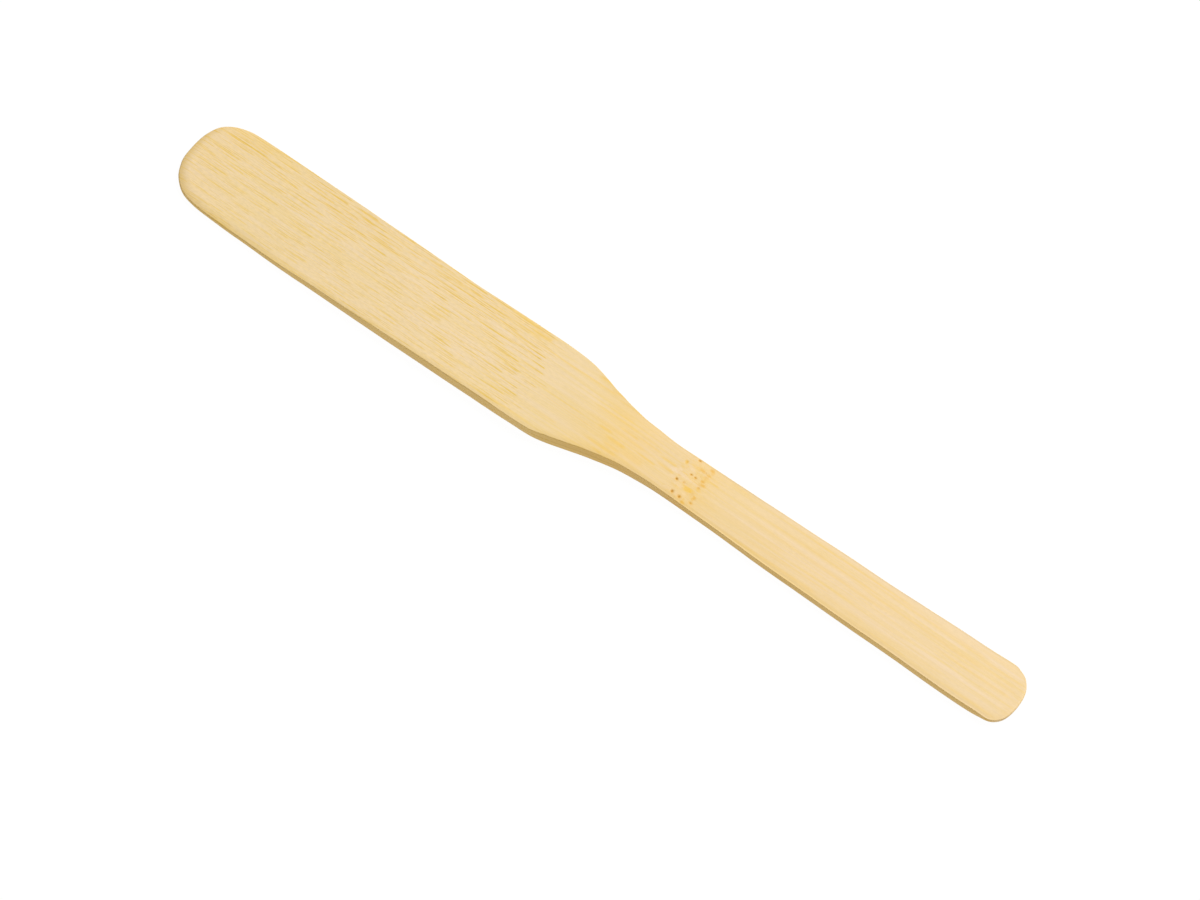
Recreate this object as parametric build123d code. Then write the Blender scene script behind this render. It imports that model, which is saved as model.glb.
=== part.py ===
from build123d import *
import os
from math import hypot

# Bamboo folder: one length of solid bamboo shaped to a flat blade with a
# rounded tip, two sloping shoulders, a waisted neck and a slim flat handle.
#
# Frame: origin at the centre of the flat underside, +X from the blade tip to
# the handle end, +Y across the width, +Z up out of the top face. Millimetres.

# ---------------------------------------------------------------- dimensions
LENGTH = 200.0              # blade tip to handle end
HALF = LENGTH / 2
TIP_THICKNESS = 1.75        # blade, close to the tip
BLADE_THICKNESS = 3.0       # blade, half way back
SHOULDER_THICKNESS = 3.55   # thickest place, between the shoulders
HANDLE_THICKNESS = 2.3      # handle, constant over its flat length
HANDLE_FLAT_START = 42.0    # x where the handle's flat top begins

BOTTOM_EDGE_RADIUS = 0.25
TOP_EDGE_RADIUS = 0.15      # the top edge is left crisper

# Tip bevel: a sloping flank that fades out along the blade
BEVEL_BOTTOM = 0.95         # height where the flank starts
BEVEL_TOP = 2.5             # height of the cutter's top, clear of the tip
BEVEL_REACH = 1.9           # run of the slope, BEVEL_BOTTOM to TIP_THICKNESS
BEVEL_FULL = -94.0          # x up to which the bevel has its full slope
BEVEL_END = -58.0           # x where the bevel has run out
BEVEL_FOOT_CLEARANCE = 0.25   # flank's lower edge, outside the outline
BEVEL_FADED_CLEARANCE = 0.6   # flank's upper edge, outside it once faded out

# Working solids, all larger than the folder
BLANK_HEIGHT = 6.0
STOCK_WIDTH = 30.0          # side profile and bevel cutter, across Y
PROFILE_OVERHANG = 2.0      # side profile, past each end
CUTTER_OVERHANG = 3.0       # bevel cutter, past the tip
CUTTER_RUNOUT = 1.0         # bevel cutter, past BEVEL_END

# Top rim edges lie wholly above this height and are longer than this length
TOP_RIM_MIN_Z = BEVEL_BOTTOM + 0.5
TOP_RIM_MIN_LENGTH = 12.0
FLAT_TOLERANCE = 1e-4       # bottom rim edges stay below this height

# ------------------------------------------------------------ plan outline
# The sides are hand cut and not mirror images: the -Y shoulder starts a
# little earlier and the +Y side of the blade swells slightly towards the tip.
# Blade about 20 wide, neck 10, handle 11 to 12.5.
TIP = (-HALF, 0.60)
END = (HALF, -0.10)
PLUS_Y_SIDE = [  # (x, y), tip to handle end
    (-99.60, 4.30), (-98.60, 6.47), (-97.00, 8.13), (-95.00, 9.22),
    (-92.40, 9.90), (-88.00, 10.17), (-80.00, 10.23), (-70.00, 10.09),
    (-58.00, 9.75), (-46.00, 9.43), (-36.00, 9.21), (-24.00, 9.31),
    (-16.00, 9.40), (-12.00, 9.30), (-8.00, 8.97), (-4.00, 8.21),
    (0.00, 7.11), (4.00, 6.16), (8.00, 5.50), (12.00, 5.18),
    (17.00, 5.02), (22.00, 5.13), (30.00, 5.33), (40.00, 5.45),
    (60.00, 5.62), (76.00, 5.82), (88.00, 6.03), (93.00, 6.17),
    (95.60, 6.03), (97.50, 5.37), (98.90, 4.09), (99.75, 2.15),
]
MINUS_Y_SIDE = [  # (x, y), tip to handle end
    (-99.60, -3.45), (-98.60, -5.57), (-97.00, -7.37), (-95.00, -8.65),
    (-92.40, -9.39), (-88.00, -9.75), (-80.00, -10.01), (-70.00, -10.17),
    (-58.00, -10.21), (-46.00, -10.22), (-36.00, -10.17), (-24.00, -10.07),
    (-16.00, -9.97), (-11.50, -9.89), (-8.00, -9.65), (-4.00, -8.89),
    (0.00, -7.79), (4.00, -6.75), (8.00, -5.89), (12.00, -5.35),
    (17.00, -5.02), (22.00, -4.95), (30.00, -5.09), (40.00, -5.43),
    (60.00, -5.91), (76.00, -6.11), (88.00, -6.33), (93.00, -6.29),
    (95.60, -6.15), (97.50, -5.75), (98.90, -4.60), (99.75, -2.55),
]

# ----------------------------------------------------------- side profile
TOP_PROFILE = [  # (x, z) of the top face, tip to the start of the handle's flat
    (-HALF - PROFILE_OVERHANG, 1.66), (-92.0, TIP_THICKNESS), (-80.0, 1.82),
    (-72.0, 1.97), (-64.0, 2.28), (-56.0, 2.62), (-46.0, BLADE_THICKNESS),
    (-34.0, 3.24), (-22.0, 3.32), (-10.0, 3.42), (0.0, SHOULDER_THICKNESS),
    (6.0, 3.48), (12.0, 3.16), (18.0, 2.76), (26.0, 2.42),
    (34.0, 2.31), (HANDLE_FLAT_START, HANDLE_THICKNESS),
]
TOP_PROFILE_TANGENTS = [(1.0, 0.01), (1.0, 0.0)]  # nearly level, then level


def chord_spline(points, tangents):
    """Spline through the points, its parameter measured along the chords."""
    run = [0.0]
    for start, stop in zip(points, points[1:]):
        run.append(run[-1] + hypot(stop[0] - start[0], stop[1] - start[1]))
    return Edge.make_spline(points, tangents=tangents, parameters=run, scale=False)


def outline_wire(z, inset=lambda x: 0.0):
    """Closed outline at height z, moved in by inset(x) along its normals."""
    loop = [TIP] + PLUS_Y_SIDE + [END] + MINUS_Y_SIDE[::-1]
    moved = []
    for i, (x, y) in enumerate(loop):
        before, after = loop[i - 1], loop[(i + 1) % len(loop)]
        along_x, along_y = after[0] - before[0], after[1] - before[1]
        chord = hypot(along_x, along_y)
        shift = inset(x)
        moved.append((x + along_y / chord * shift, y - along_x / chord * shift, z))
    end = len(PLUS_Y_SIDE) + 1
    plus_y, minus_y = (0.0, 1.0, 0.0), (0.0, -1.0, 0.0)
    return Wire([chord_spline(moved[:end + 1], [plus_y, minus_y]),
                 chord_spline(moved[end:] + moved[:1], [minus_y, plus_y])])


def side_solid():
    """Side profile swept across the width: flat bottom, tapered top."""
    far_x = HALF + PROFILE_OVERHANG
    with BuildSketch(Plane.XZ.offset(-STOCK_WIDTH / 2)) as profile:
        with BuildLine():
            Spline(TOP_PROFILE, tangents=TOP_PROFILE_TANGENTS)
            Line(TOP_PROFILE[-1], (far_x, HANDLE_THICKNESS))
            Line((far_x, HANDLE_THICKNESS), (far_x, 0.0))
            Line((far_x, 0.0), (-far_x, 0.0))
            Line((-far_x, 0.0), TOP_PROFILE[0])
        make_face()
    return extrude(profile.sketch, amount=STOCK_WIDTH)


def tip_bevel_cutter():
    """Block round the tip, less a ruled envelope that leans in as it rises."""
    height = BEVEL_TOP - BEVEL_BOTTOM
    full_lean = BEVEL_REACH * height / (TIP_THICKNESS - BEVEL_BOTTOM)

    def lean(x):
        """Inset of the flank's top: full at the tip, smoothly fading out."""
        fade = min(1.0, max(0.0, (BEVEL_END - x) / (BEVEL_END - BEVEL_FULL)))
        fade = fade * fade * (3.0 - 2.0 * fade)
        return -BEVEL_FADED_CLEARANCE + (full_lean + BEVEL_FADED_CLEARANCE) * fade

    envelope = Solid.make_loft(
        [outline_wire(BEVEL_BOTTOM, lambda x: -BEVEL_FOOT_CLEARANCE),
         outline_wire(BEVEL_TOP, lean)], ruled=True)
    start, stop = -HALF - CUTTER_OVERHANG, BEVEL_END + CUTTER_RUNOUT
    block = Pos((start + stop) / 2, 0, (BEVEL_BOTTOM + BEVEL_TOP) / 2) * Box(
        stop - start, STOCK_WIDTH, height)
    return block - envelope


def make_folder_body():
    blank = extrude(Face(outline_wire(0.0)), amount=BLANK_HEIGHT, dir=(0, 0, 1))
    body = (blank & side_solid()) - tip_bevel_cutter()

    bottom_rim = [e for e in body.edges() if e.bounding_box().max.Z < FLAT_TOLERANCE]
    body = fillet(bottom_rim, BOTTOM_EDGE_RADIUS)

    top_rim = [e for e in body.edges()
               if e.bounding_box().min.Z > TOP_RIM_MIN_Z and e.length > TOP_RIM_MIN_LENGTH]
    body = fillet(top_rim, TOP_EDGE_RADIUS)
    body.label = "folder_body"
    return body


os.makedirs("parts", exist_ok=True)
export_step(make_folder_body(), "parts/folder_body.step")
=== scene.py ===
"""Folder made of one length of solid bamboo, lying flat with its underside at z = 0.

The rounded, thinned blade is on the -X side, then come sloping shoulders, a
narrow neck with the culm's node band, and a slim flat handle on +X. "Far" is
the +Y side, "near" the -Y side. Tables are in millimetres in the row frame;
the mesh, lights and camera are in metres.
"""

import math

import bpy
import numpy as np
from mathutils import Matrix, Vector


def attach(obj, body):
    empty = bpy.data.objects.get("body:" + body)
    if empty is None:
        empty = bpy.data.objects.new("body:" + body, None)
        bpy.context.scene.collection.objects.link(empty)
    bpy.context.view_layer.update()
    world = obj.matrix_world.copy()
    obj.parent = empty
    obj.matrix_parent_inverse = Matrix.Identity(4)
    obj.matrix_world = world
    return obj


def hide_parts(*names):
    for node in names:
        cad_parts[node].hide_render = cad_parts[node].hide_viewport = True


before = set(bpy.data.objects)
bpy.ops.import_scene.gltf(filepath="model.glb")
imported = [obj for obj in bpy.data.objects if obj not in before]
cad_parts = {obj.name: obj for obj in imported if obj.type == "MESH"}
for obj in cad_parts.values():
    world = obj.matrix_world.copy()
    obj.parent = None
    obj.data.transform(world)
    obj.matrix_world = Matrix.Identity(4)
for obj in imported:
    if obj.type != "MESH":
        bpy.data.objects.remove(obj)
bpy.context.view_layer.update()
MM = 0.001

# ---------------------------------------------------------------- small maths


def cubic_spline(knots, values, slopes=None):
    """Cubic spline through values at knots; slopes holds both end slopes."""
    knots = np.asarray(knots, float)
    values = np.asarray(values, float)
    count = len(knots)
    gap = np.diff(knots)
    rise = np.diff(values) / gap
    system = np.zeros((count, count))
    target = np.zeros(count)
    for i in range(1, count - 1):
        system[i, i - 1] = gap[i - 1]
        system[i, i] = 2 * (gap[i - 1] + gap[i])
        system[i, i + 1] = gap[i]
        target[i] = 6 * (rise[i] - rise[i - 1])
    if slopes is None:
        system[0, 0] = system[-1, -1] = 1
    else:
        system[0, 0], system[0, 1] = 2 * gap[0], gap[0]
        target[0] = 6 * (rise[0] - slopes[0])
        system[-1, -1], system[-1, -2] = 2 * gap[-1], gap[-1]
        target[-1] = 6 * (slopes[1] - rise[-1])
    bend = np.linalg.solve(system, target)

    def evaluate(query):
        query = np.asarray(query, float)
        i = np.clip(np.searchsorted(knots, query) - 1, 0, count - 2)
        width = gap[i]
        before = (knots[i + 1] - query) / width
        after = (query - knots[i]) / width
        return (before * values[i] + after * values[i + 1]
                + ((before ** 3 - before) * bend[i]
                   + (after ** 3 - after) * bend[i + 1]) * width * width / 6)
    return evaluate


def smooth(start, stop, value):
    """Smooth step from 0 at start to 1 at stop."""
    share = np.clip((np.asarray(value, float) - start) / (stop - start), 0.0, 1.0)
    return share * share * (3 - 2 * share)


def lattice(column, row, seed):
    """Hashed value in 0..1 for each whole-numbered grid point."""
    key = (column.astype(np.int64) * 73856093) ^ (row.astype(np.int64) * 19349663) \
        ^ (seed * 83492791)
    key = (key ^ (key >> 13)) * 1274126177
    key = key ^ (key >> 16)
    return (key & 0xFFFF) / 65535.0


def value_noise(x, y, seed):
    """Smooth value noise in -1..1, the same on every run."""
    x = np.asarray(x, float)
    y = np.asarray(y, float) + np.zeros_like(x)
    column, row = np.floor(x), np.floor(y)
    part_x, part_y = (part * part * part * (part * (part * 6 - 15) + 10)
                      for part in (x - column, y - row))
    low_row, high_row = (
        lattice(column, line, seed) * (1 - part_x) + lattice(column + 1, line, seed) * part_x
        for line in (row, row + 1))
    return 2 * (low_row * (1 - part_y) + high_row * part_y) - 1


def run_length(x, y):
    """Distance along a line of points, starting at 0."""
    return np.concatenate([[0], np.cumsum(np.hypot(np.diff(x), np.diff(y)))])


# ------------------------------------------------------------- the outline
# Measured stations, then the y of the far and near sides at all but the
# first (tip) and last (handle end), where both sides meet at TIP_Y and END_Y.
TIP_Y, END_Y = 0.60, -0.10
STATION_X = [
    -100.0, -99.60, -99.20, -98.60, -97.80, -96.80, -95.60, -94.20, -92.60, -90.50,
    -88.0, -84.0, -80.0, -75.0, -70.0, -64.0, -58.0, -52.0, -46.0, -40.0,
    -36.0, -32.0, -28.0, -24.0, -20.0, -17.0, -14.0, -12.0, -10.0, -8.0,
    -6.0, -4.0, -2.0, 0.0, 2.0, 4.0, 6.0, 8.0, 10.0, 12.0, 14.0, 17.0,
    20.0, 23.0, 26.0, 30.0, 35.0, 40.0, 46.0, 52.0, 60.0, 68.0, 76.0,
    84.0, 88.0, 91.0, 93.0, 94.5, 95.6, 96.6, 97.5, 98.3, 98.9, 99.4,
    99.8, 100.0]
FAR_Y = [
    4.48, 5.68, 6.90, 7.85, 8.60, 9.22, 9.68, 10.04, 10.20,
    10.23, 10.23, 10.21, 10.16, 10.09, 9.93, 9.73, 9.55, 9.39, 9.23,
    9.15, 9.18, 9.25, 9.28, 9.32, 9.32, 9.31, 9.24, 9.14, 8.97,
    8.66, 8.18, 7.62, 7.02, 6.57, 6.10, 5.74, 5.42, 5.27, 5.18, 5.04, 4.96,
    5.05, 5.15, 5.20, 5.28, 5.33, 5.42, 5.46, 5.53, 5.61, 5.65, 5.78,
    5.96, 5.95, 6.02, 6.11, 6.18, 6.09, 5.73, 5.37, 4.79, 4.08, 3.24,
    2.06]
NEAR_Y = [
    -3.20, -4.17, -5.39, -6.45, -7.40, -8.28, -8.91, -9.29, -9.58,
    -9.72, -9.93, -10.02, -10.11, -10.20, -10.22, -10.22, -10.25, -10.25,
    -10.23, -10.21, -10.19, -10.16, -10.12, -10.08, -10.04, -9.99, -9.96,
    -9.93, -9.80, -9.45, -8.96, -8.38, -7.82, -7.24, -6.77, -6.32, -5.90,
    -5.59, -5.37, -5.20, -5.02, -4.98, -4.98, -5.04, -5.10, -5.25, -5.47,
    -5.64, -5.79, -5.93, -6.03, -6.11, -6.32, -6.37, -6.36, -6.30, -6.25,
    -6.19, -6.10, -5.84, -5.32, -4.72, -3.90, -2.58]
CURVE_POINTS = 24001


def side_curve(side_y, sign):
    """Dense points of one side from the tip to the end; sign is its side in y."""
    knot_y = [TIP_Y] + side_y + [END_Y]
    knots = run_length(STATION_X, knot_y)
    query = np.linspace(0, knots[-1], CURVE_POINTS)
    x = cubic_spline(knots, STATION_X, (0.0, 0.0))(query)
    y = cubic_spline(knots, knot_y, (sign, -sign))(query)
    return np.maximum.accumulate(x), y    # x only ever grows along a side


far_x, far_y = side_curve(FAR_Y, 1.0)
near_x, near_y = side_curve(NEAR_Y, -1.0)
# the near side is drawn in a little along the handle and the blade
near_y = near_y + 0.07 * smooth(4, 12, near_x) * (1 - smooth(62, 84, near_x))
near_y = near_y + 0.04 * smooth(-86, -70, near_x) * (1 - smooth(6, 14, near_x))


def station_gap(x):
    """Station spacing: fine round the ends and over the node band."""
    gap = 0.62 - 0.20 * (smooth(-24, -14, x) - smooth(14, 30, x))
    gap = gap - 0.31 * (smooth(15.0, 18.5, x) - smooth(26.5, 30.0, x))
    ends = 0.34 * (1 - smooth(-98.5, -90.0, x)) + 0.30 * smooth(93.0, 98.0, x)
    return np.maximum(0.11, gap - ends)


far_run = run_length(far_x, far_y)
near_run = run_length(near_x, near_y)
density = 1.0 / station_gap(far_x)
station_sum = np.concatenate(
    [[0], np.cumsum(np.diff(far_run) * 0.5 * (density[1:] + density[:-1]))])
LAST = int(round(station_sum[-1]))         # number of the last station
dense_index = np.arange(len(station_sum))
pick = np.interp(np.linspace(0, station_sum[-1], LAST + 1), station_sum, dense_index)
far_station_x, far_station_y, far_at = (
    np.interp(pick, dense_index, values) for values in (far_x, far_y, far_run))

# The near side has the same stations: matched by x on the long run, and by
# share of the run round the two ends, where x hardly changes.
TIP_TURN_X, END_TURN_X = -95.0, 96.0
near_at = np.interp(far_station_x, near_x, near_run)
far_tip = np.interp(TIP_TURN_X, far_x, far_run)
near_tip = np.interp(TIP_TURN_X, near_x, near_run)
far_end = far_run[-1] - np.interp(END_TURN_X, far_x, far_run)
near_end = near_run[-1] - np.interp(END_TURN_X, near_x, near_run)
in_tip = far_at < far_tip
near_at[in_tip] = far_at[in_tip] * near_tip / far_tip
in_end = far_at > far_run[-1] - far_end
near_at[in_end] = near_run[-1] - (far_run[-1] - far_at[in_end]) * near_end / far_end
near_station_x = np.interp(near_at, near_run, near_x)
near_station_y = np.interp(near_at, near_run, near_y)

# closed loop: tip, far side, end, near side back to the tip
loop_x = np.concatenate([far_station_x, near_station_x[1:-1][::-1]])
loop_y = np.concatenate([far_station_y, near_station_y[1:-1][::-1]])
station = np.concatenate([np.arange(LAST + 1), np.arange(1, LAST)[::-1]])
LOOP_COUNT = len(loop_x)
far_side = np.arange(LOOP_COUNT) <= LAST

step_x = np.roll(loop_x, -1) - np.roll(loop_x, 1)
step_y = np.roll(loop_y, -1) - np.roll(loop_y, 1)
step_length = np.hypot(step_x, step_y)
# outward, as the loop runs clockwise seen from above
out_x, out_y = -step_y / step_length, step_x / step_length

# knife and sandpaper leave the outline a little uneven
loop_run = run_length(loop_x, loop_y)
wobble = (0.030 * value_noise(loop_run / 9.0, 3.1, 5)
          + 0.014 * value_noise(loop_run / 3.1, 7.7, 6))
wobble *= smooth(0, 8, loop_run) * smooth(0, 8, loop_run[-1] - loop_run)
loop_x = loop_x + out_x * wobble
loop_y = loop_y + out_y * wobble

# ---------------------------------------------------------------- thickness
HANDLE_X, HANDLE_Z = 42.0, 2.30            # even thickness from here to the end
TOP_X = [-102.0, -92.0, -80.0, -72.0, -64.0, -56.0, -46.0, -34.0, -22.0,
         -10.0, 0.0, 6.0, 12.0, 18.0, 26.0, 34.0, HANDLE_X]
TOP_Z = [1.66, 1.75, 1.82, 1.97, 2.28, 2.62, 3.00, 3.24, 3.32,
         3.42, 3.55, 3.48, 3.16, 2.76, 2.42, 2.31, HANDLE_Z]
top_curve = cubic_spline(TOP_X, TOP_Z, (0.01, 0.0))


def thickness(x):
    return np.where(x < HANDLE_X, top_curve(np.clip(x, TOP_X[0], HANDLE_X)), HANDLE_Z)


# y of the middle line along the length
middle_y = cubic_spline(
    [-100, -90, -70, -40, -16, -4, 4, 12, 22, 40, 70, 90, 100],
    [0.60, 0.32, -0.03, -0.47, -0.30, -0.35, -0.30, -0.08, 0.10, -0.02, -0.18, -0.12, -0.10])

# pits of the node band on the top face: x, y, radius along, radius across, depth
PITS = [
    (21.70, 4.73, 0.34, 0.20, 0.100), (22.18, 1.32, 0.27, 0.23, 0.085),
    (23.15, 1.25, 0.28, 0.22, 0.085), (20.46, -1.10, 0.27, 0.25, 0.130),
    (21.32, -3.70, 0.32, 0.29, 0.140), (23.04, -3.82, 0.33, 0.29, 0.130),
    (25.55, -3.60, 0.28, 0.14, 0.060), (19.95, 3.08, 0.20, 0.18, 0.045),
    (24.86, 1.40, 0.22, 0.16, 0.030), (22.00, -0.92, 0.20, 0.16, 0.040),
    (25.02, -0.08, 0.14, 0.14, 0.040), (24.20, 3.30, 0.22, 0.12, 0.040),
]
HALF_WIDTH = 0.5 * (np.array([2.0] + FAR_Y + [2.0]) - np.array([-2.0] + NEAR_Y + [-2.0]))


def crown(x, y):
    """Fall towards the sides: a trace of the culm's curve, most on the handle."""
    half = np.maximum(np.interp(x, STATION_X, HALF_WIDTH), 5.0)
    share = np.clip(np.abs(y - middle_y(np.clip(x, -100, 100))) / half, 0, 1)
    return (0.030 + 0.075 * smooth(4.0, 30.0, x)) * share ** 2.4 * smooth(-96, -80, x)


# unevenness of the top face: length along, length across, height, seed
UNEVEN = [(17.0, 6.5, 0.020, 11), (7.0, 2.3, 0.010, 12), (16.0, 0.55, 0.0045, 13)]


def top_relief(x, y):
    """Low hand-worked relief of the top face."""
    z = -crown(x, y)
    for length, width, height, seed in UNEVEN:
        z = z + height * value_noise(x / length, y / width, seed)
    node_swell = np.exp(-((x - 22.4) / 3.1) ** 2)
    z = z + node_swell * (0.030 + 0.020 * value_noise(x / 1.5, y / 1.1, 14))
    for pit_x, pit_y, along, across, depth in PITS:
        square = ((x - pit_x) / along) ** 2 + ((y - pit_y) / across) ** 2
        z = z - 0.72 * depth * np.exp(-square * 1.15)
        # a low lip round the pit
        z = z + 0.07 * depth * np.exp(-((np.sqrt(square) - 1.9) / 0.55) ** 2)
    return z


# ---------------------------------------------------------------- the section
# Each loop point carries one section line: bottom centre, bottom rim, side,
# top rim, top centre. A ring is the loop at one inset and height.
tip_blend = np.where(far_side, 1 - smooth(-99.5, -86.0, loop_x), 1 - smooth(-98.0, -58.0, loop_x))
end_blend = smooth(92.5, 97.0, loop_x)
near_facing = np.clip(-out_y, 0, 1)        # how far the rim faces -Y
tip_facing = np.clip(-out_x, 0, 1)         # and how far it faces -X

# bevel of the top face: its drop at the rim and its reach inwards
bevel_drop = (0.055 + 0.055 * near_facing
              + (0.25 + 0.17 * tip_facing ** 2) * tip_blend ** 1.3 + 0.03 * end_blend)
bevel_reach = 0.60 + 0.28 * near_facing + 1.35 * tip_blend ** 0.6 - 0.10 * end_blend
# the same for the underside
low_drop = 0.02 + 0.20 * tip_blend ** 1.5
low_reach = 0.50 + 1.2 * tip_blend
# radii of the rolled edges
top_radius = (0.13 + 0.12 * tip_blend + 0.03 * end_blend
              + 0.03 * value_noise(loop_run / 6.0, 0.5, 21))
low_radius = 0.29 + 0.12 * tip_blend + 0.62 * end_blend
# the -Y shoulder was cut in flats with the knife leaning: its top edge stands
# out a little and turns in two small corners
lean_out = np.where(far_side, 0.0, 0.20 * np.interp(
    loop_x, [-19.0, -13.0, -8.7, -5.3, -3.0], [0.0, 1.0, 1.0, -0.15, 0.0]))
# the handle end is cut back a little underneath, most at its -Y corner
lean_out = lean_out + 0.48 * smooth(94.0, 97.6, loop_x) * np.clip(
    0.38 * out_x - 0.46 * out_y, 0, 1)

RIM_INSET = 2.75                           # inset where the rim rings end
CENTRE_INSET = 9.0                         # stands for "far from any rim"
TOP_STEPS = 66                             # steps from the rim rings to the spine
LOW_STEPS = 9
WALL_STEPS = 6

# The spine follows the stations along the middle. It stops short of both
# ends, where its points are spread evenly; the very first and last stations
# share their neighbour's spine point.
spine_x = np.maximum.accumulate(loop_x[:LAST + 1])
first_free = int(np.argmax(spine_x > -92.0))
last_free = int(np.argmax(spine_x > 93.0)) - 1
spine_x[1:first_free] = np.linspace(-96.0, spine_x[first_free], first_free)[:-1]
spine_x[last_free + 1:LAST] = np.linspace(spine_x[last_free], 96.4, LAST - last_free)[1:]
spine_x[0], spine_x[LAST] = spine_x[1], spine_x[LAST - 1]
spine_y = middle_y(spine_x)


def at_inset(inset):
    return loop_x - out_x * inset, loop_y - out_y * inset


def at_top(inset):
    """Inset point on the top side of the section, where the side wall leans."""
    return at_inset(inset - lean_out * (1 - smooth(0.0, 2.7, inset)))


def between(start, stop, share):
    return [a + (b - a) * share for a, b in zip(start, stop)]


def top_z(points, inset):
    fall = np.clip(1 - inset / bevel_reach, 0, 1)
    return (thickness(points[0]) - bevel_drop * fall * fall
            + top_relief(*points) * smooth(0.0, 0.35, inset))


def low_z(inset):
    fall = np.clip(1 - inset / low_reach, 0, 1)
    return low_drop * fall * fall


rings = []                                 # (x, y, z, inset) arrays, bottom to top


def add_ring(points, z, inset):
    rings.append((*points, z, inset + np.zeros(LOOP_COUNT)))


rim_points = at_inset(RIM_INSET)
spine_points = (spine_x[station], spine_y[station])
for i in range(1, LOW_STEPS):              # underside, from the centre out
    add_ring(between(spine_points, rim_points, i / LOW_STEPS), low_z(CENTRE_INSET),
             CENTRE_INSET)
for share in (1.0, 0.66, 0.37, 0.16, 0.05):
    inset = low_radius + (RIM_INSET - low_radius) * share
    add_ring(at_inset(inset), low_z(inset), inset)
for degrees in (0, 18, 36, 54, 72, 90):    # bottom edge, rolled
    angle = math.radians(degrees)
    inset = low_radius * (1 - math.sin(angle))
    add_ring(at_inset(inset), low_z(inset) + low_radius * (1 - math.cos(angle)), 0.0)
wall_low = low_z(0.0) + low_radius
wall_high = top_z(at_inset(0.0), 0.0) - top_radius
for i in range(1, WALL_STEPS):             # side wall, very slightly crowned
    share = i / WALL_STEPS
    hollow = (-0.018 * math.sin(math.pi * share)
              + 0.012 * value_noise(loop_run / 5.0, share * 2.0, 31))
    add_ring(at_inset(hollow - lean_out * share),
             wall_low + (wall_high - wall_low) * share, 0.0)
for degrees in (90, 78, 66, 54, 42, 30, 20, 10, 0):  # top edge, rolled
    angle = math.radians(degrees)
    inset = top_radius * (1 - math.sin(angle))
    points = at_top(inset)
    add_ring(points, top_z(points, inset) - top_radius * (1 - math.cos(angle)), 0.0)
for share in (0.05, 0.11, 0.17, 0.24, 0.31, 0.39, 0.47, 0.56, 0.65, 0.74, 0.83, 0.92, 1.0):
    inset = top_radius + (RIM_INSET - top_radius) * share
    points = at_top(inset)
    add_ring(points, top_z(points, inset), inset)
for i in range(1, TOP_STEPS):              # top face, in to the spine
    points = between(rim_points, spine_points, i / TOP_STEPS)
    add_ring(points, top_z(points, CENTRE_INSET), CENTRE_INSET)

# ---------------------------------------------------------------- the mesh
# all rings, then the bottom spine and the top spine
inner_x, inner_y = spine_x[1:LAST], spine_y[1:LAST]
mesh_x, mesh_y, ring_z = (np.concatenate([ring[i] for ring in rings]) for i in range(3))
low_spine = len(ring_z) - 1                # index of the spine point of station 0
top_spine = low_spine + LAST - 1
mesh_x = np.concatenate([mesh_x, inner_x, inner_x])
mesh_y = np.concatenate([mesh_y, inner_y, inner_y])
mesh_z = np.concatenate([ring_z, np.zeros(LAST - 1),
                         thickness(inner_x) + top_relief(inner_x, inner_y)])


def mesh_faces():
    here = np.arange(LOOP_COUNT)
    after = (here + 1) % LOOP_COUNT
    quads = []
    for i in range(len(rings) - 1):
        low, high = i * LOOP_COUNT, (i + 1) * LOOP_COUNT
        quads.append(np.stack([low + here, high + here, high + after, low + after], 1))
    spine_here = np.clip(station[here], 1, LAST - 1)
    spine_after = np.clip(station[after], 1, LAST - 1)
    top = (len(rings) - 1) * LOOP_COUNT
    full = spine_here != spine_after
    quads.append(np.stack([low_spine + spine_here, here, after,
                           low_spine + spine_after], 1)[full])
    quads.append(np.stack([top + here, top_spine + spine_here,
                           top_spine + spine_after, top + after], 1)[full])
    faces = np.concatenate(quads).tolist()
    for i in here[~full]:                  # three-sided faces at the two ends
        faces.append([int(low_spine + spine_here[i]), int(i), int(after[i])])
        faces.append([int(top + i), int(top_spine + spine_here[i]), int(top + after[i])])
    return faces


mesh = bpy.data.meshes.new("bamboo_folder")
mesh.from_pydata(np.stack([mesh_x, mesh_y, mesh_z], 1) * MM, [], mesh_faces())
mesh.validate()
mesh.update()
folder = bpy.data.objects.new("bamboo_folder", mesh)
bpy.context.scene.collection.objects.link(folder)
mesh.polygons.foreach_set("use_smooth", np.ones(len(mesh.polygons), bool))

# ------------------------------------------------------- painted-on masks
top_part = smooth(0.72, 1.05, mesh_z)      # leaves the lower part of the section out


def mask(name, values):
    layer = mesh.attributes.new(name, "FLOAT", "POINT")
    layer.data.foreach_set("value", np.clip(values, 0, 1).astype(np.float32))


def pit_mask():
    pits = np.zeros(len(mesh_x))
    for pit_x, pit_y, along, across, depth in PITS:
        reach = np.sqrt(((mesh_x - pit_x) / along) ** 2 + ((mesh_y - pit_y) / across) ** 2)
        reach = reach + 0.18 * value_noise(mesh_x / 0.30, mesh_y / 0.25, 43)
        pits = np.maximum(pits, (1 - smooth(0.25, 1.08, reach)) * min(1.0, depth / 0.115))
    return pits * top_part


def spots(rows):
    """Soft uneven spots: x, y, reach along, reach across, strength."""
    total = np.zeros(len(mesh_x))
    for spot_x, spot_y, along, across, strength in rows:
        reach = np.sqrt(((mesh_x - spot_x) / along) ** 2 + ((mesh_y - spot_y) / across) ** 2)
        reach = reach + 0.28 * value_noise(mesh_x / 0.6, mesh_y / 0.35, 41)
        total = np.maximum(total, strength * (1 - smooth(0.25, 1.15, reach)))
    return total * top_part


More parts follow.
